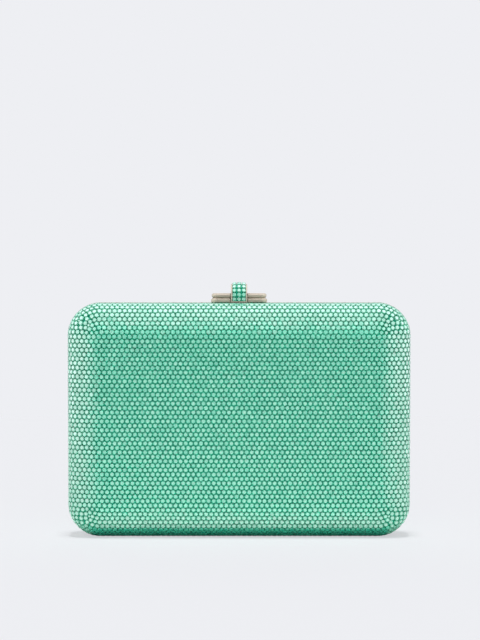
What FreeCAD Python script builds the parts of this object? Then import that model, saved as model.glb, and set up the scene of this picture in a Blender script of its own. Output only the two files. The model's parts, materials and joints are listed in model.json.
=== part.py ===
import FreeCAD, Part
import math
import os

from FreeCAD import Vector

# A hard evening clutch: two drawn half shells set all over with stones, hinged along the base
# and held shut at the top by a jewelled saddle that slides on a split rail.
# Millimetres. X runs along the width, Y from front to back and Z up. The origin is the middle
# of the base, on the parting plane between the two halves.

# Case, measured over the stones
case_width = 165.0
case_height = 112.5
case_depth = 38.0
side_straight = 6.7  # flat depth of a side wall, from the parting plane to the roll
bevel_angle = 20.0  # of the border round the flat panel, in degrees
bevel_run = 14.5  # from the outline in to the panel
panel_corner_radius = 1.0
stone_height = 1.1
shell_wall = 0.6
glue_gap = 0.1
parting_gap = 0.2

# Rim frames
frame_width = 2.4  # along Y, as seen between the two fields of stones
frame_chamfer = 0.3
flange_wall = 0.8
flange_depth = 2.4

# Linings
lining_wall = 0.7
lining_gap = 0.2  # behind the frame

# Base hinge
hinge_length = 134.0
knuckle_count = 9
knuckle_gap = 0.2
barrel_radius = 1.25
barrel_lift = 0.15  # of the barrel above the base plane
pin_radius = 0.6
pin_clearance = 0.05
pin_end_setback = 0.3
leaf_wall = 0.6
leaf_clearance = 0.3
bay_clearance = 0.5  # between the hinge's ends and the frame
relief_clearance = 0.55  # round the barrel, where the frames swing past each other
hinge_rivet_count = 4
hinge_rivet_radius = 0.8
rivet_clearance = 0.04

# Clasp rails
rail_length = 27.0
rail_reach = 4.5  # from the parting plane to a rail's outer face
rail_end_radius = 3.0
base_plate_height = 2.05
groove_height = 0.4
groove_depth = 0.8
cap_plate_height = 2.0
cap_setback = 0.3  # of the cap plate inside the base plate's outline
cap_chamfer = 0.55
base_chamfer = 0.45
rail_rivet_radius = 0.6
rail_rivet_depth = 1.2  # into the rail
rail_rivet_end_setback = 2.6  # from the rail's end
gate_rivet_setback = 1.7  # from the gate's edge

# Saddle
saddle_width = 7.9
saddle_crown = 0.5  # rise of its face from the sides to the middle
saddle_travel = 8.0  # each way from the middle
saddle_arm = 1.2
saddle_clearance = 0.3  # to the rails and to the stones below
saddle_straight = 3.05  # height of the arms' straight part
saddle_chamfer = 0.2
gate_clearance = 0.3  # on each side of the saddle, in the front rail
recess_depth = 0.5
recess_rim = 0.7  # metal left beside the stones, at both sides
recess_sill = 0.5  # metal left below the stones, at both ends

# Saddle stones
stone_columns = 3
stone_rows = 11
saddle_stone_radius = 0.97
saddle_stone_girdle = 0.25
saddle_stone_height = 0.95
saddle_stone_table_share = 0.55
saddle_stone_sides = 8
stone_bed = 0.03

# Saddle stem, in the back rail's slot
stem_radius = 0.6
stem_clearance = 0.1
stem_wall = 0.9  # metal between the slot and the parting face
stem_grip = 2.0  # length held in the saddle
stem_head_radius = 1.1
stem_head_height = 0.5
washer_height = 0.3
spring_height = 0.35
spring_wall = 0.2
channel_height = 1.7

# Eyes for a shoulder chain, inside the back frame
eye_drop = 6.0  # below the start of the upper corner
eye_radius = 2.2
eye_hole_radius = 1.2
eye_wall = 1.4
eye_arm = 3.2  # from the frame to the eye's centre
eye_neck = 3.0

overrun = 1.0  # of every cutting tool past the face it enters

# Worked out from the sizes above
half_width = case_width / 2
half_depth = case_depth / 2
half_gap = parting_gap / 2
slope = math.radians(bevel_angle)
corner_radius = bevel_run + panel_corner_radius
corner_x = half_width - corner_radius
corner_low = corner_radius
corner_high = case_height - corner_radius
roll_lean = (math.pi / 2 - slope) / 2  # of the middle of the roll from a side into the bevel
edge_radius = (half_depth - bevel_run * math.tan(slope) - side_straight) / math.tan(roll_lean)
shell_inset = stone_height
floor_inset = stone_height + shell_wall
flange_inset = floor_inset + glue_gap
rim_inset = flange_inset + flange_wall
lining_inset = rim_inset + glue_gap
hinge_z = barrel_lift + barrel_radius
bore_radius = pin_radius + pin_clearance
bay_half = hinge_length / 2 + bay_clearance
leaf_start = barrel_radius + leaf_clearance
leaf_end = side_straight - leaf_clearance
leaf_top = floor_inset + leaf_wall
hinge_rivet_y = (frame_width + leaf_end) / 2
rail_top = case_height + base_plate_height + groove_height + cap_plate_height
gate_half = saddle_width / 2 + gate_clearance
rail_rivet_y = (half_gap + frame_width) / 2
rail_rivet_x = rail_length / 2 - rail_rivet_end_setback
gate_rivet_x = gate_half + gate_rivet_setback
stem_y = half_gap + stem_wall + stem_radius
slot_radius = stem_radius + stem_clearance
channel_radius = stem_head_radius + stem_clearance
saddle_inner = rail_reach + saddle_clearance
saddle_radius = saddle_inner + saddle_arm
saddle_low = case_height + saddle_clearance
saddle_centre_z = saddle_low + saddle_straight
saddle_ceiling = rail_top + saddle_clearance
crown_radius = ((saddle_width / 2) ** 2 + saddle_crown**2) / (2 * saddle_crown)
crown_centre = saddle_radius - crown_radius  # of the face's curve across the saddle, from the arch's axis

SIDES = {"left": -1, "right": 1}


def box(x_from, x_to, y_from, y_to, z_from, z_to):
    corner = Vector(x_from, y_from, z_from)
    return Part.makeBox(x_to - x_from, y_to - y_from, z_to - z_from, corner)


def line(start, end):
    return Part.LineSegment(start, end).toShape()


def runs_along_y(edge):
    return edge.BoundBox.YLength > max(edge.BoundBox.XLength, edge.BoundBox.ZLength)


def case_prism(inset, y_from, y_to):
    """Block of the case's rounded outline, drawn in by inset."""
    x = half_width - inset
    slab = box(-x, x, y_from, y_to, inset, case_height - inset)
    return slab.makeFillet(corner_radius - inset, [e for e in slab.Edges if runs_along_y(e)])


def rim_section(inset, y_from, rolled):
    """Section of the back half's border, from the outline at the left in to a corner's axis at X = 0.

    Side, roll, bevel and panel are drawn in by inset. A section that isn't rolled has a chamfer there.
    """
    roll = edge_radius - inset
    face_y = half_depth - inset
    centre = Vector(edge_radius - corner_radius, side_straight, 0)
    start = Vector(inset - corner_radius, y_from, 0)
    side_end = centre - Vector(roll, 0, 0)
    roll_middle = centre + Vector(-roll * math.cos(roll_lean), roll * math.sin(roll_lean), 0)
    bevel_start = centre + Vector(-roll * math.sin(slope), roll * math.cos(slope), 0)
    crease = Vector(inset * math.tan(slope / 2) - panel_corner_radius, face_y, 0)
    axis_top = Vector(0, face_y, 0)
    axis_low = Vector(0, y_from, 0)
    turn = Part.Arc(side_end, roll_middle, bevel_start).toShape() if rolled else line(side_end, bevel_start)
    edges = [
        line(start, side_end),
        turn,
        line(bevel_start, crease),
        line(crease, axis_top),
        line(axis_top, axis_low),
        line(axis_low, start),
    ]
    return Part.Face(Part.Wire(edges))


def case_block(inset, y_from, rolled=True):
    """Back half of the case as one block, drawn in by inset: a flat panel, a bevelled border and sides."""
    section = rim_section(inset, y_from, rolled)
    corners = [
        (-corner_x, corner_low),
        (-corner_x, corner_high),
        (corner_x, corner_high),
        (corner_x, corner_low),
    ]
    border = []
    for i, (x, z) in enumerate(corners):
        run = 2 * corner_x if i % 2 else corner_high - corner_low
        side = section.extrude(Vector(0, 0, run))
        corner = section.revolve(Vector(0, 0, 0), Vector(0, 1, 0), -90)
        for part in (side, corner):
            part.Placement = FreeCAD.Placement(Vector(x, 0, z), FreeCAD.Rotation(Vector(0, 1, 0), 90 * i))
            border.append(part)
    core = box(-corner_x, corner_x, y_from, half_depth - inset, corner_low, corner_high)
    return core.multiFuse(border).removeSplitter()


def tray(outer_inset, inner_inset, y_from, rolled=True):
    """Thin back half between two insets, open at the parting side."""
    hollow = case_block(inner_inset, y_from - overrun, rolled)
    return case_block(outer_inset, y_from, rolled).cut(hollow)


def post(radius, x, y, z_from, z_to):
    return Part.makeCylinder(radius, z_to - z_from, Vector(x, y, z_from))


def slot(radius, x_half, y, z_from, z_to):
    """Upright round-ended slot along X."""
    tool = box(-x_half, x_half, y - radius, y + radius, z_from, z_to)
    ends = [post(radius, x, y, z_from, z_to) for x in (-x_half, x_half)]
    return tool.multiFuse(ends).removeSplitter()


def along_x(radius, x_from, x_to, y, z):
    return Part.makeCylinder(radius, x_to - x_from, Vector(x_from, y, z), Vector(1, 0, 0))


def to_front(shape):
    """The same piece on the front half."""
    return shape.mirror(Vector(0, 0, 0), Vector(0, 1, 0))


def spread(count, half):
    """Places evenly spaced from -half to half."""
    return [half * (2 * i / (count - 1) - 1) for i in range(count)]


# Hinge

def knuckle_spans(own):
    """X ranges of the knuckles: every other one belongs to the back leaf, from the ends inwards."""
    pitch = hinge_length / knuckle_count
    first = 0 if own == "back" else 1
    spans = []
    for i in range(first, knuckle_count, 2):
        x = -hinge_length / 2 + i * pitch
        spans.append((x + knuckle_gap / 2, x + pitch - knuckle_gap / 2))
    return spans


def hinge_rivet_places():
    pitch = hinge_length / hinge_rivet_count
    return spread(hinge_rivet_count, (hinge_length - pitch) / 2)


def hinge_rivet(x):
    """Flush rivet through the leaf and the shell's floor."""
    return post(hinge_rivet_radius, x, hinge_rivet_y, shell_inset, leaf_top)


def hinge_rivet_hole(x):
    return post(hinge_rivet_radius + rivet_clearance, x, hinge_rivet_y, -overrun, leaf_top + overrun)


def hinge_leaf(own):
    """Leaf on the back half's floor, with its knuckles round the axis."""
    half = hinge_length / 2
    leaf = box(-half, half, leaf_start, leaf_end, floor_inset, leaf_top)
    knuckles = []
    for x_from, x_to in knuckle_spans(own):
        knuckles.append(along_x(barrel_radius, x_from, x_to, 0, hinge_z))
        knuckles.append(box(x_from, x_to, 0, leaf_start, floor_inset, leaf_top))
    leaf = leaf.multiFuse(knuckles).removeSplitter()
    bore = along_x(bore_radius, -half - overrun, half + overrun, 0, hinge_z)
    return leaf.cut([bore] + [hinge_rivet_hole(x) for x in hinge_rivet_places()])


def hinge_pin():
    half = hinge_length / 2 - pin_end_setback
    return along_x(pin_radius, -half, half, 0, hinge_z)


def hinge_rivets():
    return Part.makeCompound([hinge_rivet(x) for x in hinge_rivet_places()])


# Shells, stones and linings

def shell():
    """Drawn metal tray, with the hinge rivets' holes in its floor."""
    holes = [hinge_rivet_hole(x) for x in hinge_rivet_places()]
    return tray(shell_inset, floor_inset, frame_width).cut(holes)


def pave():
    """Field of set stones, as one skin over the shell."""
    return tray(0, stone_height - glue_gap, frame_width)


def lining():
    """Leather-covered board folded into a tray."""
    return tray(lining_inset, lining_inset + lining_wall, frame_width + lining_gap, rolled=False)


# Frames

def hinge_relief():
    """Half-round channel under the hinge axis, in which the frames' lower edges swing past each other."""
    radius = barrel_radius + relief_clearance
    channel = along_x(radius, -half_width, half_width, 0, hinge_z)
    return channel.common(box(-half_width, half_width, -radius, radius, hinge_z - radius, hinge_z))


def frame(rivet_places):
    """Rim of the back half with a flange inside the shell, open at the base for the hinge."""
    rim = case_prism(0, half_gap, frame_width)
    y_edge = half_gap + frame_chamfer / 2
    parting_edges = [e for e in rim.Edges if max(v.Y for v in e.Vertexes) < y_edge]
    rim = rim.makeChamfer(frame_chamfer, parting_edges)
    flange_to = frame_width + flange_depth
    rim = rim.fuse(case_prism(flange_inset, frame_width, flange_to))
    inside = case_prism(rim_inset, half_gap - overrun, flange_to + overrun)
    bay = box(-bay_half, bay_half, -overrun, flange_to + overrun, -overrun, rim_inset + overrun)
    hole_radius = rail_rivet_radius + rivet_clearance
    hole_low = case_height - rim_inset - overrun
    holes = [post(hole_radius, x, rail_rivet_y, hole_low, rail_top) for x in rivet_places]
    return rim.cut([inside, bay, hinge_relief()] + holes).removeSplitter()


def chain_eye(side):
    """Eye on the back frame's inner side, for the end of a shoulder chain."""
    x_wall = half_width - rim_inset
    z = corner_high - eye_drop
    y = half_gap + glue_gap
    x_eye = x_wall - eye_arm
    disc = Part.makeCylinder(eye_radius, eye_wall, Vector(x_eye, y, z), Vector(0, 1, 0))
    neck = box(x_eye, x_wall, y, y + eye_wall, z - eye_neck / 2, z + eye_neck / 2)
    bore_start = Vector(x_eye, y - overrun, z)
    hole = Part.makeCylinder(eye_hole_radius, eye_wall + 2 * overrun, bore_start, Vector(0, 1, 0))
    eye = disc.fuse(neck).removeSplitter().cut(hole)
    return eye if side > 0 else eye.mirror(Vector(0, 0, 0), Vector(1, 0, 0))


# Clasp

def rail_plate(setback, z_from, z_to):
    """Plate of a back rail: straight at the parting face, rounded at its outer ends."""
    x = rail_length / 2 - setback
    y = rail_reach - setback
    r = rail_end_radius
    slant = r * math.sqrt(0.5)
    points = [Vector(-x, half_gap, z_from), Vector(x, half_gap, z_from), Vector(x, y - r, z_from)]
    right_end = Vector(x - r, y, z_from)
    left_start = Vector(r - x, y, z_from)
    left_end = Vector(-x, y - r, z_from)
    edges = [
        line(points[0], points[1]),
        line(points[1], points[2]),
        Part.Arc(points[2], Vector(x - r + slant, y - r + slant, z_from), right_end).toShape(),
        line(right_end, left_start),
        Part.Arc(left_start, Vector(r - x - slant, y - r + slant, z_from), left_end).toShape(),
        line(left_end, points[0]),
    ]
    return Part.Face(Part.Wire(edges)).extrude(Vector(0, 0, z_to - z_from))


def bevelled_plate(setback, z_from, z_to, chamfer):
    """Plate of a back rail with all its outer edges bevelled, except at the parting face."""
    plate = rail_plate(setback, z_from, z_to)
    bounds = [(e, e.BoundBox) for e in plate.Edges]
    rims = [e for e, b in bounds if b.ZLength < chamfer / 2 and b.YMax > half_gap + chamfer / 2]
    return plate.makeChamfer(chamfer, rims)


def full_rail():
    """Back rail before its slot: two bevelled plates, the base and the cap, with a groove between."""
    base_top = case_height + base_plate_height
    cap_low = base_top + groove_height
    base = bevelled_plate(0, case_height, base_top, base_chamfer)
    neck = rail_plate(groove_depth, base_top, cap_low)
    cap = bevelled_plate(cap_setback, cap_low, rail_top, cap_chamfer)
    return base.multiFuse([neck, cap]).removeSplitter()


def rail_rivet_hole(x):
    top = case_height + rail_rivet_depth + rivet_clearance
    return post(rail_rivet_radius + rivet_clearance, x, rail_rivet_y, case_height - overrun, top)


def back_rail():
    """Whole rail, with the slot and the wider channel under it that the stem runs in."""
    channel_top = case_height + channel_height
    channel = slot(channel_radius, saddle_travel, stem_y, case_height - overrun, channel_top)
    stem_slot = slot(slot_radius, saddle_travel, stem_y, case_height, rail_top + overrun)
    holes = [rail_rivet_hole(x) for x in (-rail_rivet_x, rail_rivet_x)]
    return full_rail().cut([channel, stem_slot] + holes)


def front_rail(side):
    """One end of the front rail, beside the gate that the saddle's front arm leaves by."""
    y_out = rail_reach + overrun
    gate = box(-gate_half, gate_half, -overrun, y_out, case_height - overrun, rail_top + overrun)
    holes = [rail_rivet_hole(side * x) for x in (gate_rivet_x, rail_rivet_x)]
    ends = full_rail().cut([gate] + holes)
    piece = [s for s in ends.Solids if s.CenterOfMass.x * side > 0][0]
    return to_front(piece)


def rail_rivets(places):
    """Flush rivets up through the frame into a rail."""
    low = case_height - rim_inset
    top = case_height + rail_rivet_depth
    return Part.makeCompound([post(rail_rivet_radius, x, rail_rivet_y, low, top) for x in places])


def crown_reach(inset, x):
    """Distance of the crowned face, drawn in by inset, from the arch's axis."""
    return crown_centre + math.sqrt((crown_radius - inset) ** 2 - x**2)


def arch(inset, low, x_half):
    """Upright block along X with a half-round top. Its crowned face is drawn in by inset."""
    axis = Vector(0, 0, saddle_centre_z)
    side = crown_reach(inset, x_half)
    left_axis = axis - Vector(x_half, 0, 0)
    left = left_axis - Vector(0, side, 0)
    crown = axis - Vector(0, crown_reach(inset, 0), 0)
    right_axis = axis + Vector(x_half, 0, 0)
    right = right_axis - Vector(0, side, 0)
    edges = [
        line(left_axis, left),
        Part.Arc(left, crown, right).toShape(),
        line(right, right_axis),
        line(right_axis, left_axis),
    ]
    section = Part.Face(Part.Wire(edges))
    top = section.revolve(axis, Vector(1, 0, 0), -180)
    front_arm = section.extrude(Vector(0, 0, low - saddle_centre_z))
    return top.multiFuse([front_arm, to_front(front_arm)]).removeSplitter()


def clasp_saddle():
    """Arched slide over both rails, with a sunk band for its stones."""
    x_half = saddle_width / 2
    body = arch(0, saddle_low, x_half)
    z_edge = saddle_low + saddle_chamfer
    bounds = [(e, e.BoundBox) for e in body.Edges]
    side_edges = [e for e, b in bounds if b.XLength < saddle_chamfer and b.ZMax > z_edge]
    body = body.makeChamfer(saddle_chamfer, side_edges)
    x_out = x_half + overrun
    cavity = box(-x_out, x_out, -saddle_inner, saddle_inner, saddle_low - overrun, saddle_ceiling)
    band_half = x_half - recess_rim
    band = arch(-overrun, saddle_low + recess_sill, band_half).cut(arch(recess_depth, saddle_low, band_half))
    socket = post(stem_radius + rivet_clearance, 0, stem_y, saddle_low, saddle_ceiling + stem_grip)
    return body.cut([cavity, band, socket])


def cut_stone():
    """Flat-backed faceted stone, standing on its back with its table up."""
    levels = [
        (saddle_stone_radius, 0),
        (saddle_stone_radius, saddle_stone_girdle),
        (saddle_stone_radius * saddle_stone_table_share, saddle_stone_height),
    ]
    turns = [2 * math.pi * i / saddle_stone_sides for i in range(saddle_stone_sides + 1)]
    rings = [[Vector(r * math.cos(a), r * math.sin(a), z) for a in turns] for r, z in levels]
    outlines = [rings[0], rings[-1]]
    for lower, upper in zip(rings, rings[1:]):
        for i in range(saddle_stone_sides):
            outlines.append([lower[i], lower[i + 1], upper[i + 1], upper[i], lower[i]])
    faces = [Part.Face(Part.makePolygon(points)) for points in outlines]
    return Part.makeSolid(Part.makeShell(faces))


def stone_places():
    """Place and two leans of each saddle stone, row by row over the arch from front to back.

    The first lean is round the arch, and the second is the crowned face's, across it.
    """
    bed_inset = recess_depth - stone_bed
    arm = saddle_straight - recess_sill
    middle_reach = crown_reach(bed_inset, 0)
    length = 2 * arm + math.pi * middle_reach
    pitch_x = (saddle_width - 2 * recess_rim) / stone_columns
    places = []
    for row in range(stone_rows):
        s = length * (row + 0.5) / stone_rows - length / 2
        round_lean = max(-math.pi / 2, min(math.pi / 2, s / middle_reach))
        fall = max(0, abs(s) - math.pi / 2 * middle_reach)
        for x in spread(stone_columns, pitch_x * (stone_columns - 1) / 2):
            reach = crown_reach(bed_inset, x)
            y = reach * math.sin(round_lean)
            z = saddle_centre_z + reach * math.cos(round_lean) - fall
            places.append((Vector(x, y, z), round_lean, math.asin(x / (crown_radius - bed_inset))))
    return places


def saddle_stones():
    stone = cut_stone()
    stones = []
    for place, round_lean, side_lean in stone_places():
        over = FreeCAD.Rotation(Vector(1, 0, 0), -math.degrees(round_lean))
        sideways = FreeCAD.Rotation(Vector(0, 1, 0), math.degrees(side_lean))
        turned = stone.copy()
        turned.Placement = FreeCAD.Placement(place, over.multiply(sideways))
        stones.append(turned)
    return Part.makeCompound(stones)


def stem_levels():
    """Heights of the stack under the channel's ceiling: washer, spring and head, each by its top."""
    washer_top = case_height + channel_height - stem_clearance
    spring_top = washer_top - washer_height
    head_top = spring_top - spring_height
    return washer_top, spring_top, head_top


def saddle_stem():
    """Shouldered pin from the saddle down through the back rail's slot."""
    head_top = stem_levels()[2]
    shank = post(stem_radius, 0, stem_y, head_top, saddle_ceiling + stem_grip - rivet_clearance)
    head = post(stem_head_radius, 0, stem_y, head_top - stem_head_height, head_top)
    return shank.fuse(head).removeSplitter()


def stem_washer():
    washer_top, spring_top, _ = stem_levels()
    disc = post(stem_head_radius, 0, stem_y, spring_top, washer_top)
    bore = post(stem_radius + rivet_clearance, 0, stem_y, spring_top - overrun, washer_top + overrun)
    return disc.cut(bore)


def spring_washer():
    """Dished washer that presses the slide against its rail."""
    _, spring_top, head_top = stem_levels()
    inner = stem_radius + rivet_clearance
    rise = spring_height - spring_wall
    section = Part.makePolygon(
        [
            Vector(inner, 0, spring_top - spring_wall),
            Vector(inner, 0, spring_top),
            Vector(stem_head_radius, 0, spring_top - rise),
            Vector(stem_head_radius, 0, head_top),
            Vector(inner, 0, spring_top - spring_wall),
        ]
    )
    dish = Part.Face(section).revolve(Vector(0, 0, 0), Vector(0, 0, 1), 360)
    return dish.translated(Vector(0, stem_y, 0))


def pieces():
    """Every piece by its name."""
    back_rivets = [-rail_rivet_x, rail_rivet_x]
    front_rivets = [side * x for side in SIDES.values() for x in (gate_rivet_x, rail_rivet_x)]
    made = {
        "back_shell": shell(),
        "back_stones": pave(),
        "back_frame": frame(back_rivets),
        "back_lining": lining(),
        "back_hinge_leaf": hinge_leaf("back"),
        "back_hinge_rivets": hinge_rivets(),
        "hinge_pin": hinge_pin(),
        "back_rail": back_rail(),
        "back_rail_rivets": rail_rivets(back_rivets),
        "front_shell": to_front(shell()),
        "front_stones": to_front(pave()),
        "front_frame": to_front(frame(front_rivets)),
        "front_lining": to_front(lining()),
        "front_hinge_leaf": to_front(hinge_leaf("front")),
        "front_hinge_rivets": to_front(hinge_rivets()),
        "front_rail_rivets": to_front(rail_rivets(front_rivets)),
        "clasp_saddle": clasp_saddle(),
        "saddle_stones": saddle_stones(),
        "saddle_stem": saddle_stem(),
        "stem_washer": stem_washer(),
        "spring_washer": spring_washer(),
    }
    for name, side in SIDES.items():
        made["chain_eye_" + name] = chain_eye(side)
        made["front_rail_" + name] = front_rail(side)
    return made


def main():
    os.makedirs("parts", exist_ok=True)
    for name, shape in pieces().items():
        shape.exportStep(os.path.join("parts", name + ".step"))
        print(f"{name}: {len(shape.Solids)} solid(s), {shape.Volume:.1f} mm3, valid {shape.isValid()}")


main()
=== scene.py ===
import json
import math

import bpy
import numpy as np
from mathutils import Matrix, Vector


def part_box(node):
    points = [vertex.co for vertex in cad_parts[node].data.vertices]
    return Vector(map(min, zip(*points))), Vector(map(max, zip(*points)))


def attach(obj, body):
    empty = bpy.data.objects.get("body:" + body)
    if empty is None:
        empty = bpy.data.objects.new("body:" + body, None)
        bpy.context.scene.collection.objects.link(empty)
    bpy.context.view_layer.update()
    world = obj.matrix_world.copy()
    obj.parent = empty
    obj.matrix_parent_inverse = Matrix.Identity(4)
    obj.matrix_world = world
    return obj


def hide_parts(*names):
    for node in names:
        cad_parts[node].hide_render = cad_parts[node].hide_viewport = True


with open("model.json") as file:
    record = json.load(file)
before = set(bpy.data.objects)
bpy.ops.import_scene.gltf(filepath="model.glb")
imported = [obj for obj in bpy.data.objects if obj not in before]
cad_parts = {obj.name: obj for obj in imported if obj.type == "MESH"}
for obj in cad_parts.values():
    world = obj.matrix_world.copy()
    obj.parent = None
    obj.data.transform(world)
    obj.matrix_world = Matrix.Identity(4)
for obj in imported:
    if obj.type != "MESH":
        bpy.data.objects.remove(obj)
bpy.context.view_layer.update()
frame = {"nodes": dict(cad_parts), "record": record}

# Crystal clutch: separate cut stones on lacquered shells, champagne metal frames and clasp,
# a brass hinge and a leather lining. Metres, in the frame's axes: X along the width, Y from
# front to back, Z up.

MM = 0.001
RNG_SEED = 8

# Case, as packed
stones_low, stones_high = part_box("back_stones")
shell_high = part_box("back_shell")[1]
lining_low, lining_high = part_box("back_lining")
saddle_low, saddle_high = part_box("clasp_saddle")
HALF_WIDTH = stones_high.x
CASE_HEIGHT = stones_high.z
HALF_DEPTH = stones_high.y
FRAME_EDGE = stones_low.y
STONE_HEIGHT = HALF_WIDTH - shell_high.x
MIDDLE = CASE_HEIGHT / 2

# Border of the case
SIDE_STRAIGHT = 6.7 * MM
SLOPE = math.radians(20)
BEVEL_RUN = 14.5 * MM
PANEL_CORNER = 1.0 * MM
CORNER_RADIUS = BEVEL_RUN + PANEL_CORNER
ROLL_TURN = math.pi / 2 - SLOPE
EDGE_RADIUS = (HALF_DEPTH - BEVEL_RUN * math.tan(SLOPE) - SIDE_STRAIGHT) / math.tan(ROLL_TURN / 2)
AXIS_X = HALF_WIDTH - CORNER_RADIUS
AXIS_Z = MIDDLE - CORNER_RADIUS

# Stones
STONE_PITCH = 2.44 * MM
ROW_PITCH = 2.13 * MM
STONE_RADIUS = 1.19 * MM
STONE_SIDES = 8
STONE_TOP_GAP = 0.02 * MM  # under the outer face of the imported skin
TABLE_SHARE = 0.7  # of the radius
BACK_SHARE = 0.92  # of the radius
GIRDLE_SHARE = 0.76  # of the height
STONE_TILT = math.radians(1.3)
STONE_SIZE_SPREAD = 0.015
SEAT_REACH = 3.2 * MM  # over which a stone's lean follows the face round it
SEAT_STEPS = 9
SEAT_LAG = math.radians(32)  # of the roll's turn, over which its stones lean less than the case

# Setting out the stones: shares and slack are of the pitch, unless they say otherwise
ROW_SLACK = 0.1  # by which the last stone of a strip's row may pass its end
ROW_STEPS = 900  # in which a row round a corner is measured
FACE_STEPS = 600  # in which a corner's face is searched
SEAM_ANGLE = math.radians(45)
NEIGHBOUR_PITCHES = 3  # how far into the strips a corner's neighbours reach
ROW_LEAST_SHARE = 0.8  # between stones of rows that meet at a corner's seam
FILL_SHARES = (0.84, 0.78, 0.73, 0.69, 0.66)  # round the stones that fill a seam, turn by turn
SPARE_STEP = 0.1  # between the places tried for those stones
SPARE_TURNS = 60
SMALL_STONE_SHARE = 0.42  # of a stone's radius, the least that fills a gap in a seam
EASED_SHARE = 0.9  # to which stones in a corner are moved apart
EASING_STEPS = 25
EASING_SHARE = 0.35  # of the overlap, taken off in a step

# Tints of the stones
TINTS = {  # colour, roughness, IOR, coat and sheen
    "table_pale": ((0.1, 0.84, 0.54), 0.24, 3.4, 1.0, 0.0),
    "table_mint": ((0.06, 0.8, 0.505), 0.24, 3.4, 1.0, 0.0),
    "table_jade": ((0.05, 0.72, 0.455), 0.28, 3.2, 1.0, 0.0),
    "crown_mint": ((0.06, 0.75, 0.48), 0.2, 1.9, 0.2, 0.25),
    "crown_jade": ((0.035, 0.57, 0.36), 0.2, 1.9, 0.2, 0.25),
    "crown_green": ((0.01, 0.4, 0.25), 0.2, 1.6, 0.0, 0.0),
    "girdle_pale": ((0.12, 0.7, 0.48), 0.3, 1.5, 0.0, 0.0),
}
TABLE_SHARES = {"table_pale": 0.45, "table_mint": 0.45, "table_jade": 0.1}
CROWN_SHARES = {"crown_mint": 0.34, "crown_jade": 0.4, "crown_green": 0.26}
GIRDLE_TINT = "girdle_pale"
PACKED_TINT = "table_mint"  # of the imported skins, which the stones replace
TINT_LEVELS = 3
# Pale colour mixed into the stones' tints, level by level: painted sheen towards the case's edge and on
# the saddle
PAINTED_SHEEN_COLOUR = (0.53, 0.72, 0.62)
MOST_PAINTED_SHEEN = 0.3  # share of the painted sheen's colour in the last level's tints
# Painted sheen over all the saddle's stones
SADDLE_PAINTED_SHEEN = 0.8
SHADED_BASE_FACING = 0.5  # how far down a normal points, at least, where stones keep the first level's tints without painted sheen: painted shade on the base
SHADED_BASE_TURN = 0.3  # how far sideways it points, at most, there
SOFTNESS_SCALE = 380  # of the noise in the stones' roughness, about a stone to each patch
SOFTNESS_DETAIL = 1.0
SOFTNESS_ENDS = (0.35, 0.65)  # of the noise, between which the roughness grows
SOFTNESS_RANGE = (0.7, 1.35)  # times a tint's roughness
COAT_ROUGHNESS = 0.04
COAT_IOR = 1.6
SHEEN_ROUGHNESS = 0.4

# Other finishes: the darkest and lightest colour, and the roughness that goes with each
NOISE_ENDS = (0.3, 0.7)  # of the noise, between which colour and roughness change
LACQUER_COLOURS = ((0.008, 0.3, 0.18), (0.012, 0.4, 0.25))
LACQUER_ROUGHNESS = (0.25, 0.4)
LACQUER_CLOUDS = 180
LACQUER_SPECULAR = 0.15
METALS = {
    "champagne_metal": (((0.435, 0.38, 0.31), (0.535, 0.47, 0.385)), (0.5, 0.6)),
    "hinge_brass": (((0.55, 0.4, 0.2), (0.66, 0.5, 0.28)), (0.3, 0.4)),
    "pin_steel": (((0.5, 0.5, 0.5), (0.62, 0.62, 0.63)), (0.3, 0.4)),
}
BRUSHING_SCALE = 900
BRUSHING_DETAIL = 4.0
BRUSHING_STRETCH = (0.05, 1, 1)  # long lines in X
BRUSHING_BUMP = (0.12, 0.02 * MM)  # strength and height
LEATHER_COLOURS = ((0.46, 0.4, 0.3), (0.52, 0.455, 0.345))
LEATHER_ROUGHNESS = (0.5, 0.62)
LEATHER_CLOUDS = 60
LEATHER_METALLIC = 0.2
LEATHER_SPECULAR = 0.3
LEATHER_GRAIN = 1400
LEATHER_BUMP = (0.35, 0.15 * MM)

# Saddle, as packed: an arch with a crowned face and a sunk band for its stones
SADDLE_HALF_WIDTH = saddle_high.x
SADDLE_RADIUS = saddle_high.y
SADDLE_STRAIGHT = 3.05 * MM
SADDLE_CROWN = 0.5 * MM
SADDLE_RIM = 0.7 * MM  # beside the band
SADDLE_END = 0.5 * MM  # below it
SADDLE_AXIS_Z = saddle_low.z + SADDLE_STRAIGHT
CROWN_RADIUS = (SADDLE_HALF_WIDTH**2 + SADDLE_CROWN**2) / (2 * SADDLE_CROWN)
BAND_HALF_WIDTH = SADDLE_HALF_WIDTH - SADDLE_RIM
BAND_DEPTH = 0.5 * MM
BAND_ARM = SADDLE_STRAIGHT - SADDLE_END
ENAMEL_HEIGHT = 0.02 * MM
ENAMEL_STEPS = (48, 6)  # along the band and across it
SADDLE_STONE_BED = 0.03 * MM
SADDLE_STONE_RADIUS = 0.98 * MM
SADDLE_STONE_HEIGHT = 0.95 * MM
SADDLE_STONE_ROWS = 11
SADDLE_STONE_COLUMNS = 3

# Linings
LINING_INSET = HALF_WIDTH - lining_high.x
LINING_WALL = 0.7 * MM
LINING_EDGE = lining_low.y
LINING_CORNER_STEPS = 12
LINING_ROLL_STEPS = 8
LINING_LIP_STEPS = 4
LINING_PANEL_SHARES = (0.97, 0.8, 0.4)  # of the ring outside it, to which each ring of the panel shrinks

# Photograph's framing, in its pixels
PHOTO_WIDTH = 480
BODY_WIDTH_PIXELS = 340.8
BODY_MIDDLE_X = 239.1
BODY_MIDDLE_Y = 418.8
PHOTO_MIDDLE_X = 240
PHOTO_MIDDLE_Y = 320
CAMERA_ELEVATION = math.radians(3.75)
CAMERA_DISTANCE = 1.6
SENSOR_WIDTH = 36.0

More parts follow.
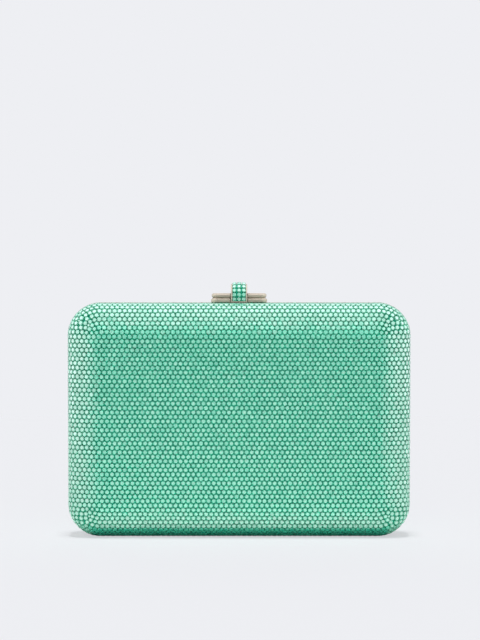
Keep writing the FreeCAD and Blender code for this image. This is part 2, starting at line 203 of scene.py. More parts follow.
# Light
SUNS = {  # where it comes from, its strength and its spread in degrees
    "key": ((0, -0.02, 1), 2.8, 10),
    "front": ((0, -1, 0.25), 0.8, 40),
    "back": ((0, 1, 0.36), 0.6, 40),
}
BACKGROUND = (0.855, 0.863, 0.896)
WORLD_LIGHT = 0.1
ROOM_LEVELS = [  # of the background in gloss, by the share of Y in the direction
    (0.0, 2.3),
    (0.38, 2.6),
    (0.46, 1.0),
    (0.54, 1.0),
    (0.62, 2.2),
    (0.72, 2.0),
    (0.82, 1.1),
    (0.92, 0.65),
    (0.98, 0.65),
]

# Floor
FLOOR_RADIUS = 0.9
FLOOR_SIDES = 96
FLOOR_COLOUR = (0.76, 0.767, 0.797)
FLOOR_GLOW = 0.66  # share of the background's own colour in the floor that the camera sees
FLOOR_BOUNCE = 0.95
SHADOW_BOUNCE = 0.0  # under and close to the case: painted contact shadow in the floor's light to the case
NEAR_REACH = (0.0175, 0.02)  # over which the bounce grows, out from the middle plane
CASE_END = 0.053  # in X, from which the same reach is counted at the ends
LID_DIP = 0.03  # how far below the floor the opened lid may reach
FREE_BELOW = 0.6  # share of the space below that is free where the floor stays


# Nodes

def new_material(name):
    """A new material, its node tree and its Principled shader."""
    material = bpy.data.materials.new(name)
    material.use_nodes = True
    tree = material.node_tree
    return material, tree, tree.nodes["Principled BSDF"]


def set_sockets(node, **values):
    """Sets a node's inputs, with underscores for the spaces in their names. A tuple is a colour."""
    for name, value in values.items():
        socket = node.inputs[name.replace("_", " ")]
        socket.default_value = (*value, 1.0) if isinstance(value, tuple) else value


def calculated(tree, operation, *values):
    """Output of a Math node, from numbers and other nodes' outputs."""
    node = tree.nodes.new("ShaderNodeMath")
    node.operation = operation
    for socket, value in zip(node.inputs, values):
        if isinstance(value, float):
            socket.default_value = value
        else:
            tree.links.new(value, socket)
    return node.outputs[0]


def axes(tree, kind):
    """X, Y and Z of one kind of texture coordinates."""
    place = tree.nodes.new("ShaderNodeTexCoord")
    split = tree.nodes.new("ShaderNodeSeparateXYZ")
    tree.links.new(place.outputs[kind], split.inputs[0])
    return split.outputs


def noise(tree, scale, detail=3.0, stretch=(1, 1, 1)):
    """Noise in the object's own metres, stretched along its axes."""
    place = tree.nodes.new("ShaderNodeTexCoord")
    mapping = tree.nodes.new("ShaderNodeMapping")
    mapping.inputs["Scale"].default_value = stretch
    texture = tree.nodes.new("ShaderNodeTexNoise")
    set_sockets(texture, Scale=scale, Detail=detail)
    tree.links.new(place.outputs["Object"], mapping.inputs["Vector"])
    tree.links.new(mapping.outputs["Vector"], texture.inputs["Vector"])
    return texture.outputs["Fac"]


def ramp(tree, source, stops):
    """Colours or values along a ramp, by a number from 0 to 1."""
    node = tree.nodes.new("ShaderNodeValToRGB")
    elements = node.color_ramp.elements
    while len(elements) < len(stops):
        elements.new(0.5)
    for element, (place, value) in zip(elements, stops):
        element.position = place
        element.color = (*value, 1.0) if isinstance(value, tuple) else (value, value, value, 1.0)
    tree.links.new(source, node.inputs["Fac"])
    return node.outputs["Color"]


def vary(tree, shader, source, colours, roughness):
    """Feeds a shader's colour and roughness, both by the same noise."""
    for name, values in (("Base Color", colours), ("Roughness", roughness)):
        tree.links.new(ramp(tree, source, list(zip(NOISE_ENDS, values))), shader.inputs[name])


def bump(tree, shader, source, strength, height):
    """Raises a shader's surface where the source is high."""
    node = tree.nodes.new("ShaderNodeBump")
    set_sockets(node, Strength=strength, Distance=height)
    tree.links.new(source, node.inputs["Height"])
    tree.links.new(node.outputs["Normal"], shader.inputs["Normal"])


# Materials

def crystal(name, colour, roughness, ior, coat, sheen):
    """One tint of the stones: clear gloss over softer foil, which varies by the stone."""
    material, tree, shader = new_material(name)
    set_sockets(shader, Base_Color=colour, IOR=ior)
    set_sockets(shader, Coat_Weight=coat, Coat_Roughness=COAT_ROUGHNESS, Coat_IOR=COAT_IOR)
    set_sockets(shader, Sheen_Weight=sheen, Sheen_Roughness=SHEEN_ROUGHNESS)
    softness = noise(tree, SOFTNESS_SCALE, SOFTNESS_DETAIL)
    stops = [(end, roughness * share) for end, share in zip(SOFTNESS_ENDS, SOFTNESS_RANGE)]
    tree.links.new(ramp(tree, softness, stops), shader.inputs["Roughness"])
    return material


def crystal_materials():
    """The tints of the stones, level by level, each level with more painted sheen than the one before."""
    materials = []
    for level in range(TINT_LEVELS):
        painted_share = MOST_PAINTED_SHEEN * level / (TINT_LEVELS - 1)
        for name, (colour, *finish) in TINTS.items():
            mixed = tuple(value + painted_share * (painted_channel - value) for value, painted_channel in zip(colour, PAINTED_SHEEN_COLOUR))
            materials.append(crystal(f"{name}_{level}", mixed, *finish))
    return materials


def tint_slot(name):
    """A tint's place in its level."""
    return list(TINTS).index(name)


def lacquer():
    """Dark green lacquer of the shells, under and between the stones."""
    material, tree, shader = new_material("green_lacquer")
    set_sockets(shader, Specular_IOR_Level=LACQUER_SPECULAR)
    vary(tree, shader, noise(tree, LACQUER_CLOUDS), LACQUER_COLOURS, LACQUER_ROUGHNESS)
    return material


def brushed_metal(name):
    """Plated metal with fine brushing along one axis."""
    material, tree, shader = new_material(name)
    set_sockets(shader, Metallic=1.0)
    lines = noise(tree, BRUSHING_SCALE, BRUSHING_DETAIL, BRUSHING_STRETCH)
    vary(tree, shader, lines, *METALS[name])
    bump(tree, shader, lines, *BRUSHING_BUMP)
    return material


def metallic_leather():
    """Gilded leather with a fine grain."""
    material, tree, shader = new_material("gilded_leather")
    set_sockets(shader, Metallic=LEATHER_METALLIC, Specular_IOR_Level=LEATHER_SPECULAR)
    vary(tree, shader, noise(tree, LEATHER_CLOUDS), LEATHER_COLOURS, LEATHER_ROUGHNESS)
    place = tree.nodes.new("ShaderNodeTexCoord")
    grain = tree.nodes.new("ShaderNodeTexVoronoi")
    set_sockets(grain, Scale=LEATHER_GRAIN)
    tree.links.new(place.outputs["Object"], grain.inputs["Vector"])
    bump(tree, shader, grain.outputs["Distance"], *LEATHER_BUMP)
    return material


def dress_frame(finishes):
    """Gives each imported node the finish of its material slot."""
    for part in frame["record"]["subparts"]:
        slots = frame["nodes"][part["node"]].data.materials
        slots.clear()
        slots.append(finishes[part["material_slot"]])


# Case's border

class Border:
    """The case's face at one inset: flat panel, bevel, roll and side.

    A place on it goes by the distance along the face from the panel's edge.
    """

    def __init__(self, inset):
        self.roll = EDGE_RADIUS - inset
        self.face = HALF_DEPTH - inset
        self.panel_corner = PANEL_CORNER - inset * math.tan(SLOPE / 2)
        bevel_out = EDGE_RADIUS - self.roll * math.sin(SLOPE)
        self.bevel = (CORNER_RADIUS - self.panel_corner - bevel_out) / math.cos(SLOPE)
        self.roll_end = self.bevel + self.roll * ROLL_TURN
        self.end = self.roll_end + SIDE_STRAIGHT - FRAME_EDGE
        self.length_x = AXIS_X + self.panel_corner + self.end
        self.length_z = AXIS_Z + self.panel_corner + self.end

    def at(self, along):
        """How far out of the panel's edge, how deep in Y and how far leant a place is."""
        along = np.asarray(along, float)
        lean = SLOPE + np.clip((along - self.bevel) / self.roll, 0, ROLL_TURN)
        lean = np.where(along < 0, 0, lean)
        on_bevel = np.clip(along, 0, self.bevel)
        on_side = np.clip(along - self.roll_end, 0, None)
        rolled = np.where(along > self.bevel, lean, SLOPE)
        out = np.minimum(along, 0) + on_bevel * math.cos(SLOPE)
        out = out + self.roll * (np.sin(rolled) - math.sin(SLOPE))
        depth = self.face - on_bevel * math.sin(SLOPE)
        depth = depth - self.roll * (math.cos(SLOPE) - np.cos(rolled)) - on_side
        return out, depth, lean

    def seat(self, along):
        """How far out and how deep a place is, and how far a stone seated there leans."""
        out, depth, lean = self.at(along)
        around = np.linspace(-SEAT_REACH, SEAT_REACH, SEAT_STEPS)
        past_crease = np.mean([along + step > 0 for step in around], axis=0)
        rolled = np.where(along > 0, lean - SLOPE, 0)
        rolled = np.where(rolled < SEAT_LAG, rolled**2 / SEAT_LAG, rolled)
        return out, depth, SLOPE * past_crease + rolled

    def strip(self, u, v):
        """Places, normals and distances from the panel's edge, for points of the panel and its strips.

        The points are on the face laid out flat: u to the side, v up from the middle.
        """
        beyond_x = np.abs(u) - AXIS_X
        beyond_z = np.abs(v) - AXIS_Z
        sideways = beyond_x > beyond_z
        along = np.where(sideways, beyond_x, beyond_z) - self.panel_corner
        out, depth, lean = self.seat(along)
        x = np.where(sideways, np.sign(u) * (AXIS_X + self.panel_corner + out), u)
        z = np.where(sideways, v, np.sign(v) * (AXIS_Z + self.panel_corner + out))
        tilt_x = np.where(sideways, np.sign(u) * np.sin(lean), 0)
        tilt_z = np.where(sideways, 0, np.sign(v) * np.sin(lean))
        places = np.stack([x, depth, z + MIDDLE], 1)
        normals = np.stack([tilt_x, np.cos(lean), tilt_z], 1)
        return places, normals, along

    def corner(self, along, turn):
        """Places and normals on the upper right corner, from the case's middle, by the turn up from X."""
        out, depth, lean = self.seat(along)
        radius = self.panel_corner + out
        right, up = np.cos(turn), np.sin(turn)
        places = np.stack([AXIS_X + radius * right, depth, AXIS_Z + radius * up], 1)
        normals = np.stack([np.sin(lean) * right, np.cos(lean), np.sin(lean) * up], 1)
        return places, normals

    def onto_corner(self, places):
        """The nearest distance and turn on that corner for places near its face."""
        x = places[:, 0] - AXIS_X
        z = places[:, 2] - AXIS_Z
        turn = np.clip(np.arctan2(z, x), 0, math.pi / 2)
        along = np.linspace(0, self.end, FACE_STEPS)
        out, depth, _ = self.at(along)
        radius = np.hypot(x, z)
        miss = np.hypot(radius[:, None] - self.panel_corner - out, places[:, 1, None] - depth)
        return along[miss.argmin(1)], turn


# Setting out the stones: a spot in a corner is its distance along the face and its turn

def distances(places, others):
    """The distances between two sets of places."""
    return np.linalg.norm(places[:, None] - others[None], axis=2)


def fitted(pitch, length):
    """The pitch nearest the given one that divides a length evenly."""
    return length / round(length / pitch)


def row_start(row, pitch):
    """Where the first stone of a row stands, with every other row staggered."""
    return 0.5 * pitch if row % 2 else 0.0


def strip_grid(border):
    """Rows over the panel and its four strips, laid out flat: the stones' places and the two pitches."""
    reach_x = border.length_x - STONE_RADIUS
    reach_z = border.length_z - STONE_RADIUS
    pitch = fitted(STONE_PITCH, reach_x)
    row_pitch = fitted(ROW_PITCH, reach_z)
    rows = round(reach_z / row_pitch)
    u, v = [], []
    for row in range(-rows, rows + 1):
        height = row * row_pitch
        start = row_start(row, pitch)
        reach = reach_x if abs(height) <= AXIS_Z else AXIS_X
        right = np.arange(start, reach + ROW_SLACK * pitch, pitch)
        across = np.concatenate([-right[::-1], right if start else right[1:]])
        u.append(across)
        v.append(np.full(len(across), height))
    return np.concatenate(u), np.concatenate(v), pitch, row_pitch


def side_rows(border, pitch, row_pitch):
    """The side strips' level rows, carried on round a corner up to its seam."""
    along = np.linspace(border.end, 0, ROW_STEPS)
    out, depth, _ = border.at(along)
    radius = border.panel_corner + out
    found = []
    first = math.floor(AXIS_Z / row_pitch) + 1
    for row in range(first, first + math.ceil(CORNER_RADIUS / row_pitch)):
        height = row * row_pitch - AXIS_Z
        turn = np.arcsin(np.clip(height / radius, 0, 1))
        path = np.stack([radius * np.cos(turn), depth], 1)
        run = np.concatenate([[0], np.hypot(*np.diff(path, axis=0).T).cumsum()])
        steps = np.arange(STONE_RADIUS + row_start(row, pitch), run[-1], pitch)
        spots = np.interp(steps, run, along)
        turns = np.interp(steps, run, turn)
        found += [(s, t) for s, t in zip(spots, turns) if t < SEAM_ANGLE]
    return found


def end_rows(border, pitch, row_pitch):
    """The top strip's rows, carried on round a corner down to its seam."""
    found = []
    first = math.ceil((AXIS_Z + border.panel_corner) / row_pitch)
    for row in range(first, round((border.length_z - STONE_RADIUS) / row_pitch) + 1):
        along = row * row_pitch - AXIS_Z - border.panel_corner
        radius = border.panel_corner + float(border.at(along)[0])
        start = row_start(row, pitch)
        beyond = start + pitch * math.ceil((AXIS_X - start) / pitch + ROW_SLACK) - AXIS_X
        turns = math.pi / 2 - np.arange(beyond, radius * math.pi / 2, pitch) / radius
        found += [(along, t) for t in turns if t > SEAM_ANGLE]
    return found


def added(border, spots, candidates, fixed, least):
    """The spots, and each candidate that lies at least so far from them and from the fixed stones."""
    spots = list(spots)
    places = border.corner(*np.array(candidates).T)[0]
    taken = np.concatenate([fixed, border.corner(*np.array(spots).T)[0]]) if spots else fixed
    nearest = distances(places, taken).min(1)
    for i, place in enumerate(places):
        if nearest[i] > least:
            spots.append(candidates[i])
            nearest = np.minimum(nearest, np.linalg.norm(places - place, axis=1))
    return spots


def eased(border, spots, fixed, least):
    """The spots, moved apart where they are nearer than that to each other or to the fixed stones."""
    along, turn = np.array(spots).T
    for _ in range(EASING_STEPS):
        places = border.corner(along, turn)[0]
        away = places[:, None] - np.concatenate([places, fixed])[None]
        distance = np.linalg.norm(away, axis=2)
        np.fill_diagonal(distance, 1)
        push = np.clip(least - distance, 0, None) / distance
        move = (away * push[..., None]).sum(1) * EASING_SHARE
        along, turn = border.onto_corner(places + move)
        along = np.minimum(along, border.end - STONE_RADIUS)
    return list(zip(along, turn))


def with_small_stones(border, spots, spare, fixed):
    """The spots and their stones' radii, with small stones added in the gaps left.

    Stones that stand near each other are smaller too.
    """
    spots = list(spots)
    placed = border.corner(*np.array(spots).T)[0]
    apart = distances(placed, placed) + np.diag(np.full(len(spots), np.inf))
    fits = np.minimum(apart.min(1) / 2, distances(placed, fixed).min(1) - STONE_RADIUS)
    radii = list(np.minimum(fits, STONE_RADIUS))
    places = border.corner(*np.array(spare).T)[0]
    room = (distances(places, fixed) - STONE_RADIUS).min(1)
    room = np.minimum(room, (distances(places, placed) - radii).min(1))
    while room.max() > SMALL_STONE_SHARE * STONE_RADIUS:
        best = room.argmax()
        spots.append(spare[best])
        radii.append(min(room[best], STONE_RADIUS))
        room = np.minimum(room, np.linalg.norm(places - places[best], axis=1) - radii[-1])
    return spots, np.array(radii)


def corner_stones(border, pitch, row_pitch, fixed, rng):
    """Places, normals, radii and distances from the panel's edge of one corner's stones.

    Both strips' rows go up to its seam and are thinned there, then the seam is filled and eased.
    """
    spots = []
    for rows in (side_rows, end_rows):
        spots = added(border, spots, rows(border, pitch, row_pitch), fixed, ROW_LEAST_SHARE * pitch)
    spare = [
        (along, turn)
        for along in np.arange(0, border.end - STONE_RADIUS, SPARE_STEP * pitch)
        for turn in np.linspace(0, math.pi / 2, SPARE_TURNS)
    ]
    for share in FILL_SHARES:
        rng.shuffle(spare)
        spots = added(border, spots, spare, fixed, share * pitch)
        spots = eased(border, spots, fixed, EASED_SHARE * pitch)
    spots, radii = with_small_stones(border, spots, spare, fixed)
    along, turn = np.array(spots).T
    return *border.corner(along, turn), radii, along


def half_places(border, rng):
    """Places, normals, radii and distances from the panel's edge of a back half's stones."""
    u, v, pitch, row_pitch = strip_grid(border)
    places, normals, along = border.strip(u, v)
    centred = places - (0, 0, MIDDLE)
    reach = NEIGHBOUR_PITCHES * pitch
    near = (centred[:, 0] > AXIS_X - reach) & (centred[:, 2] > AXIS_Z - reach)
    stones = [(places, normals, np.full(len(places), STONE_RADIUS), along)]
    for right in (1, -1):
        for up in (1, -1):
            found, facing, radii, along = corner_stones(border, pitch, row_pitch, centred[near], rng)
            turned = np.array([right, 1, up])
            stones.append((found * turned + (0, 0, MIDDLE), facing * turned, radii, along))
    return [np.concatenate(values) for values in zip(*stones)]


# Cut stones

def new_piece(name, vertices, faces, materials):
    """A mesh in the scene, with its material slots."""
    mesh = bpy.data.meshes.new(name)
    mesh.from_pydata(np.asarray(vertices).tolist(), [], faces)
    for material in materials:
        mesh.materials.append(material)
    piece = bpy.data.objects.new(name, mesh)
    bpy.context.scene.collection.objects.link(piece)
    return piece


def stone_pattern():
    """Points and faces of one flat-backed stone of unit radius and height, table up.

    The faces are the back, the sides below the girdle, the crown's triangles and the table.
    """
    n = STONE_SIDES
    turns = np.arange(n) * 2 * math.pi / n
    half = math.pi / n
    rings = []
    for radius, height, shift in ((BACK_SHARE, 0, 0), (1, GIRDLE_SHARE, 0), (TABLE_SHARE, 1, half)):
        angle = turns + shift
        rings.append(np.stack([radius * np.cos(angle), radius * np.sin(angle), np.full(n, height)], 1))
    faces = [list(range(n - 1, -1, -1))]
    for i in range(n):
        j = (i + 1) % n
        faces.append([i, j, n + j, n + i])
    for i in range(n):
        j = (i + 1) % n
        faces.append([n + i, n + j, 2 * n + i])
        faces.append([n + j, 2 * n + j, 2 * n + i])
    faces.append([2 * n + i for i in range(n)])
    return np.concatenate(rings), faces


def unit(vectors):
    """The vectors at length one."""
    return vectors / np.linalg.norm(vectors, axis=1, keepdims=True)


def picked(shares, shape, rng):
    """Slots of tints, drawn by their shares."""
    return rng.choice([tint_slot(name) for name in shares], shape, p=list(shares.values()))


def set_stones(name, places, normals, radii, height, painted_sheen, crystals, rng):
    """One mesh of separate stones, each turned at random and leant a little, its facets in several tints.

    The height is the largest stone's, and the others' go by their radii. The painted sheen, from 0 to 1,
    is met by a mixture of stones of the two nearest levels of tints.
    """
    points, faces = stone_pattern()
    count = len(places)
    normals = unit(normals + rng.normal(0, STONE_TILT, (count, 3)))
    spin = rng.normal(0, 1, (count, 3))
    across = unit(np.cross(spin, normals))
    beside = np.cross(normals, across)
    size = radii[:, None, None] * (1 + rng.normal(0, STONE_SIZE_SPREAD, (count, 1, 1)))
    rise = height * radii[:, None, None] / radii.max()
    flat = points[None, :, :1] * across[:, None] + points[None, :, 1:2] * beside[:, None]
    vertices = places[:, None] + points[None, :, 2:] * rise * normals[:, None] + size * flat
    step = len(points)
    all_faces = [[step * k + i for i in face] for k in range(count) for face in faces]
    levels = np.floor(painted_sheen * (TINT_LEVELS - 1) + rng.random(count)).astype(np.int32)
    used = crystals[: len(TINTS) * (levels.max() + 1)]
    piece = new_piece(name, vertices.reshape(-1, 3), all_faces, used)
    below_girdle = 1 + STONE_SIDES
    slots = np.zeros((count, len(faces)), np.int32)
    slots[:, :below_girdle] = tint_slot(GIRDLE_TINT)
    slots[:, below_girdle:-1] = picked(CROWN_SHARES, (count, len(faces) - below_girdle - 1), rng)
    slots[:, -1] = picked(TABLE_SHARES, count, rng)
    slots = slots + len(TINTS) * levels[:, None]
    piece.data.polygons.foreach_set("material_index", slots.ravel())
    return piece


def half_stones(side, sign, body, crystals):
    """The stones of one half, as a panel and a border piece, with painted sheen growing towards the
    case's edge.
    """
    rng = np.random.default_rng(RNG_SEED + (sign > 0))
    border = Border(STONE_HEIGHT)
    places, normals, radii, along = half_places(border, rng)
    # Stones facing down, on the base, get no painted sheen: painted shade under the case
    shaded_base = (normals[:, 2] < -SHADED_BASE_FACING) & (np.abs(normals[:, 0]) < SHADED_BASE_TURN)
    # Painted sheen, growing from the panel's edge over the bevel
    painted_sheen = np.where(shaded_base, 0, np.clip(along / border.bevel, 0, 1))
    places = places * (1, sign, 1)
    normals = normals * (1, sign, 1)
    height = STONE_HEIGHT - STONE_TOP_GAP
    for part, chosen in (("panel", along < 0), ("border", along >= 0)):
        name = f"{side}_{part}_crystals"
        stones = [values[chosen] for values in (places, normals, radii)]
        piece = set_stones(name, *stones, height, painted_sheen[chosen], crystals, rng)
        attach(piece, body)
        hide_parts(f"{side}_stones")


# Saddle

def crown_reach(inset, x):
    """Distance of the saddle's crowned face, drawn in by inset, from the arch's axis."""
    return SADDLE_RADIUS - CROWN_RADIUS + np.sqrt((CROWN_RADIUS - inset) ** 2 - x**2)


def on_saddle(inset, along, x):
    """Places and normals on the saddle's face, by the way along it from the top and the place across."""
    middle = crown_reach(inset, 0)
    lean = np.clip(along / middle, -math.pi / 2, math.pi / 2)
    fall = np.clip(np.abs(along) - math.pi / 2 * middle, 0, None)
    reach = crown_reach(inset, x)
    side = x / (CROWN_RADIUS - inset)
    level = np.sqrt(1 - side**2)
    places = np.stack([x, reach * np.sin(lean), SADDLE_AXIS_Z + reach * np.cos(lean) - fall], 1)
    normals = np.stack([side, level * np.sin(lean), level * np.cos(lean)], 1)
    return places, normals


def band_length(inset):
    """Length of the sunk band at an inset, over the arch and down both arms."""
    return 2 * BAND_ARM + math.pi * crown_reach(inset, 0)


def saddle_crystals(crystals):
    """The saddle's stones, in even rows and columns over its band."""
    inset = BAND_DEPTH - SADDLE_STONE_BED
    pitch = band_length(inset) / SADDLE_STONE_ROWS
    pitch_x = 2 * BAND_HALF_WIDTH / SADDLE_STONE_COLUMNS
    rows = (np.arange(SADDLE_STONE_ROWS) - (SADDLE_STONE_ROWS - 1) / 2) * pitch
    columns = (np.arange(SADDLE_STONE_COLUMNS) - (SADDLE_STONE_COLUMNS - 1) / 2) * pitch_x
    along, x = (grid.ravel() for grid in np.meshgrid(rows, columns, indexing="ij"))
    places, normals = on_saddle(inset, along, x)
    stones = places, normals, np.full(len(places), SADDLE_STONE_RADIUS)
    rng = np.random.default_rng(RNG_SEED)
    # Its stones take painted sheen, as the case's border does
    piece = set_stones("saddle_crystals", *stones, SADDLE_STONE_HEIGHT, SADDLE_PAINTED_SHEEN, crystals, rng)
    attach(piece, "slider")
    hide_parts("saddle_stones")


def saddle_enamel(material):
    """Thin green ground under the saddle's stones, over the whole sunk band."""
    steps, steps_x = ENAMEL_STEPS
    lengths = np.linspace(-0.5, 0.5, steps + 1)
    widths = np.linspace(-1, 1, steps_x + 1)
    share, share_x = (grid.ravel() for grid in np.meshgrid(lengths, widths, indexing="ij"))
    layers = []
    for inset in (BAND_DEPTH, BAND_DEPTH - ENAMEL_HEIGHT):
        layers.append(on_saddle(inset, share * band_length(inset), share_x * BAND_HALF_WIDTH)[0])
    below = np.arange((steps + 1) * (steps_x + 1)).reshape(steps + 1, steps_x + 1)
    rim = [*below[:-1, 0], *below[-1, :-1], *below[:0:-1, -1], *below[0, :0:-1]]
    faces = []
    for i in range(steps):
        for j in range(steps_x):
            cell = [below[i, j], below[i + 1, j], below[i + 1, j + 1], below[i, j + 1]]
            faces.append(cell)
            faces.append([k + below.size for k in reversed(cell)])
    for a, b in zip(rim, rim[1:] + rim[:1]):
        faces.append([b, a, a + below.size, b + below.size])
    piece = new_piece("saddle_enamel", np.concatenate(layers), faces, [material])
    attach(piece, "slider")


# Linings

def lining_section():
    """Points of a lining's section, from its back round its edge.

    Each is a distance from the corner's axis and a depth.
    """
    outer = Border(LINING_INSET)
    inner = Border(LINING_INSET + LINING_WALL)
    runs = []
    for border in (outer, inner):
        rolls = np.linspace(border.bevel, border.roll_end, LINING_ROLL_STEPS + 1)
        out, depth, _ = border.at(np.concatenate([[0], rolls]))
        runs.append(np.stack([border.panel_corner + out, depth], 1))
    lip = LINING_WALL / 2
    middle = (runs[0][-1, 0] + runs[1][-1, 0]) / 2
    turns = np.linspace(0, math.pi, LINING_LIP_STEPS + 1)
    edge = np.stack([middle + lip * np.cos(turns), LINING_EDGE + lip - lip * np.sin(turns)], 1)
    return np.concatenate([runs[0], edge, runs[1][::-1]])


def lining_ring(out, depth):
    """One closed line round a lining at a distance from the corners' axes."""
    points = []
    for k, (right, up) in enumerate(((1, 1), (-1, 1), (-1, -1), (1, -1))):
        for i in range(LINING_CORNER_STEPS + 1):
            turn = (k + i / LINING_CORNER_STEPS) * math.pi / 2
            x = right * AXIS_X + out * math.cos(turn)
            z = MIDDLE + up * AXIS_Z + out * math.sin(turn)
            points.append((x, depth, z))
    return np.array(points)


def lining(side, sign, material):
    """Leather-covered tray of one half, with a rounded edge behind the frame."""
    rings = [lining_ring(out, depth) for out, depth in lining_section()]
    centre = np.array([0, 0, MIDDLE])
    for share in LINING_PANEL_SHARES:
        shrink = np.array([share, 1, share])
        rings.append((rings[-1] - centre) * shrink + centre)
    count = len(rings[0])
    faces = [list(range(count))]
    for k in range(len(rings) - 1):
        for i in range(count):
            j = (i + 1) % count
            faces.append([k * count + j, k * count + i, (k + 1) * count + i, (k + 1) * count + j])
    last = (len(rings) - 1) * count
    faces.append([last + i for i in reversed(range(count))])
    if sign < 0:
        faces = [face[::-1] for face in faces]
    vertices = np.concatenate(rings) * (1, sign, 1)
    piece = new_piece(f"{side}_leather_lining", vertices, faces, [material])
    piece.data.polygons.foreach_set("use_smooth", [True] * len(faces))
    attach(piece, f"{side}_half")
    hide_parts(f"{side}_lining")


# Stage

def pale_rays(tree):
    """One for the rays to which the stage is pale: the camera's, and those of gloss and glass."""
    rays = tree.nodes.new("ShaderNodeLightPath").outputs
    seen = calculated(tree, "MAXIMUM", rays["Is Camera Ray"], rays["Is Glossy Ray"])
    return calculated(tree, "MAXIMUM", seen, rays["Is Transmission Ray"])


def shadowed_floor_bounce(tree):
    """How white the floor is to light: dark near the case's middle plane and ends as a painted contact
    shadow, white further out.
    """
    place = axes(tree, "Object")
    past_end = calculated(tree, "SUBTRACT", calculated(tree, "ABSOLUTE", place["X"]), CASE_END)
    away = calculated(tree, "MAXIMUM", past_end, calculated(tree, "ABSOLUTE", place["Y"]))
    grown = tree.nodes.new("ShaderNodeMapRange")
    set_sockets(grown, From_Min=NEAR_REACH[0], From_Max=NEAR_REACH[1])
    set_sockets(grown, To_Min=SHADOW_BOUNCE, To_Max=FLOOR_BOUNCE)
    tree.links.new(away, grown.inputs["Value"])
    return grown.outputs["Result"]


def open_above_lid(tree, shader):
    """Lets the floor give way where the opened lid passes below it, as a table's edge would."""
    below = tree.nodes.new("ShaderNodeAmbientOcclusion")
    below.inside = True
    set_sockets(below, Distance=LID_DIP)
    clear = tree.nodes.new("ShaderNodeBsdfTransparent")
    mix = tree.nodes.new("ShaderNodeMixShader")
    tree.links.new(calculated(tree, "GREATER_THAN", below.outputs["AO"], FREE_BELOW), mix.inputs["Fac"])
    tree.links.new(clear.outputs[0], mix.inputs[1])
    tree.links.new(shader.outputs[0], mix.inputs[2])
    tree.links.new(mix.outputs[0], tree.nodes["Material Output"].inputs["Surface"])


def floor_material():
    """Pale to the camera, partly by its own glow so that the shadow stays soft.

    To other light it is white, but dark close to the case: a painted contact shadow.
    """
    material, tree, shader = new_material("studio_floor")
    set_sockets(shader, Roughness=1.0, Specular_IOR_Level=0.0, Emission_Color=BACKGROUND)
    camera = tree.nodes.new("ShaderNodeLightPath").outputs["Is Camera Ray"]
    mix = tree.nodes.new("ShaderNodeMix")
    mix.data_type = "RGBA"
    set_sockets(mix, B=tuple(value * (1 - FLOOR_GLOW) for value in FLOOR_COLOUR))
    tree.links.new(shadowed_floor_bounce(tree), mix.inputs["A"])
    tree.links.new(camera, mix.inputs["Factor"])
    tree.links.new(mix.outputs["Result"], shader.inputs["Base Color"])
    tree.links.new(calculated(tree, "MULTIPLY", camera, FLOOR_GLOW), shader.inputs["Emission Strength"])
    open_above_lid(tree, shader)
    return material


def add_floor():
    """Round table top."""
    turns = np.linspace(0, 2 * math.pi, FLOOR_SIDES, endpoint=False)
    rim = np.stack([np.cos(turns), np.sin(turns), np.zeros(FLOOR_SIDES)], 1) * FLOOR_RADIUS
    floor = new_piece("floor", rim, [list(range(FLOOR_SIDES))], [floor_material()])
    floor.visible_shadow = False


def add_sun(name, direction, strength, spread):
    """Soft lamp that lights surfaces without showing in their gloss."""
    light = bpy.data.lights.new(name, "SUN")
    light.energy = strength
    light.angle = math.radians(spread)
    lamp = bpy.data.objects.new(name, light)
    lamp.rotation_euler = (-Vector(direction)).to_track_quat("-Z", "Y").to_euler()
    lamp.visible_glossy = False
    bpy.context.scene.collection.objects.link(lamp)


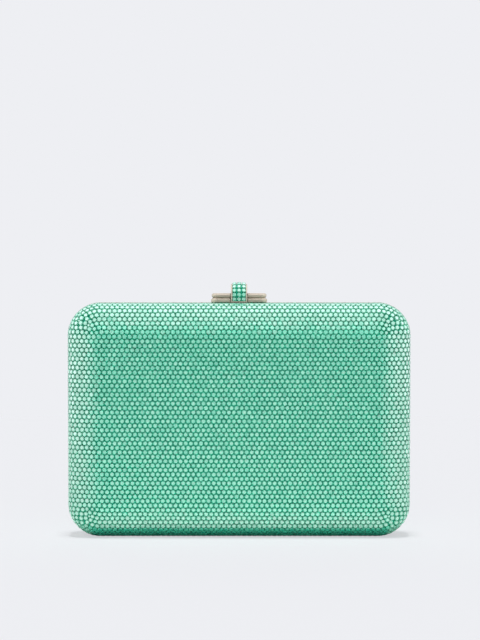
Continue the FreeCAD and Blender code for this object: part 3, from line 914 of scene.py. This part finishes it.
def add_world():
    """Even studio light, and the pale background for what the camera, gloss and glass see.

    In gloss the background is brighter in some directions, as soft boxes would be, and dimmer
    straight in front and behind.
    """
    world = bpy.data.worlds.new("studio")
    bpy.context.scene.world = world
    world.use_nodes = True
    tree = world.node_tree
    light = tree.nodes["Background"]
    set_sockets(light, Color=(1.0, 1.0, 1.0), Strength=WORLD_LIGHT)
    backdrop = tree.nodes.new("ShaderNodeBackground")
    set_sockets(backdrop, Color=BACKGROUND)
    rays = tree.nodes.new("ShaderNodeLightPath")
    depth = calculated(tree, "ABSOLUTE", axes(tree, "Generated")["Y"])
    level = tree.nodes.new("ShaderNodeMix")
    set_sockets(level, B=1.0)
    mix = tree.nodes.new("ShaderNodeMixShader")
    tree.links.new(ramp(tree, depth, ROOM_LEVELS), level.inputs["A"])
    tree.links.new(rays.outputs["Is Camera Ray"], level.inputs["Factor"])
    tree.links.new(level.outputs["Result"], backdrop.inputs["Strength"])
    tree.links.new(pale_rays(tree), mix.inputs["Fac"])
    tree.links.new(light.outputs[0], mix.inputs[1])
    tree.links.new(backdrop.outputs[0], mix.inputs[2])
    tree.links.new(mix.outputs[0], tree.nodes["World Output"].inputs["Surface"])


def add_camera():
    """Long lens from a few degrees above, with the body low in the picture as in the photograph."""
    data = bpy.data.cameras.new("camera")
    data.sensor_fit = "HORIZONTAL"
    data.sensor_width = SENSOR_WIDTH
    pixels_per_metre = BODY_WIDTH_PIXELS / (2 * HALF_WIDTH)
    data.lens = pixels_per_metre * CAMERA_DISTANCE * SENSOR_WIDTH / PHOTO_WIDTH
    data.shift_x = (PHOTO_MIDDLE_X - BODY_MIDDLE_X) / PHOTO_WIDTH
    data.shift_y = (BODY_MIDDLE_Y - PHOTO_MIDDLE_Y) / PHOTO_WIDTH
    camera = bpy.data.objects.new("camera", data)
    back = Vector((0, -math.cos(CAMERA_ELEVATION), math.sin(CAMERA_ELEVATION)))
    camera.location = Vector((0, 0, MIDDLE)) + CAMERA_DISTANCE * back
    camera.rotation_euler = (math.pi / 2 - CAMERA_ELEVATION, 0, 0)
    bpy.context.scene.collection.objects.link(camera)
    bpy.context.scene.camera = camera


crystals = crystal_materials()
green = lacquer()
leather = metallic_leather()
dress_frame(
    {
        "lacquered_shell": green,
        "champagne_metal": brushed_metal("champagne_metal"),
        "hinge_brass": brushed_metal("hinge_brass"),
        "steel": brushed_metal("pin_steel"),
        "lining_leather": leather,
        "crystal": crystals[tint_slot(PACKED_TINT)],
    }
)
half_stones("front", -1, "front_half", crystals)
half_stones("back", 1, "back_half", crystals)
saddle_crystals(crystals)
saddle_enamel(green)
lining("front", -1, leather)
lining("back", 1, leather)
add_floor()
for name, sun in SUNS.items():
    add_sun(name, *sun)
add_world()
add_camera()
bpy.context.scene.view_settings.view_transform = "Standard"
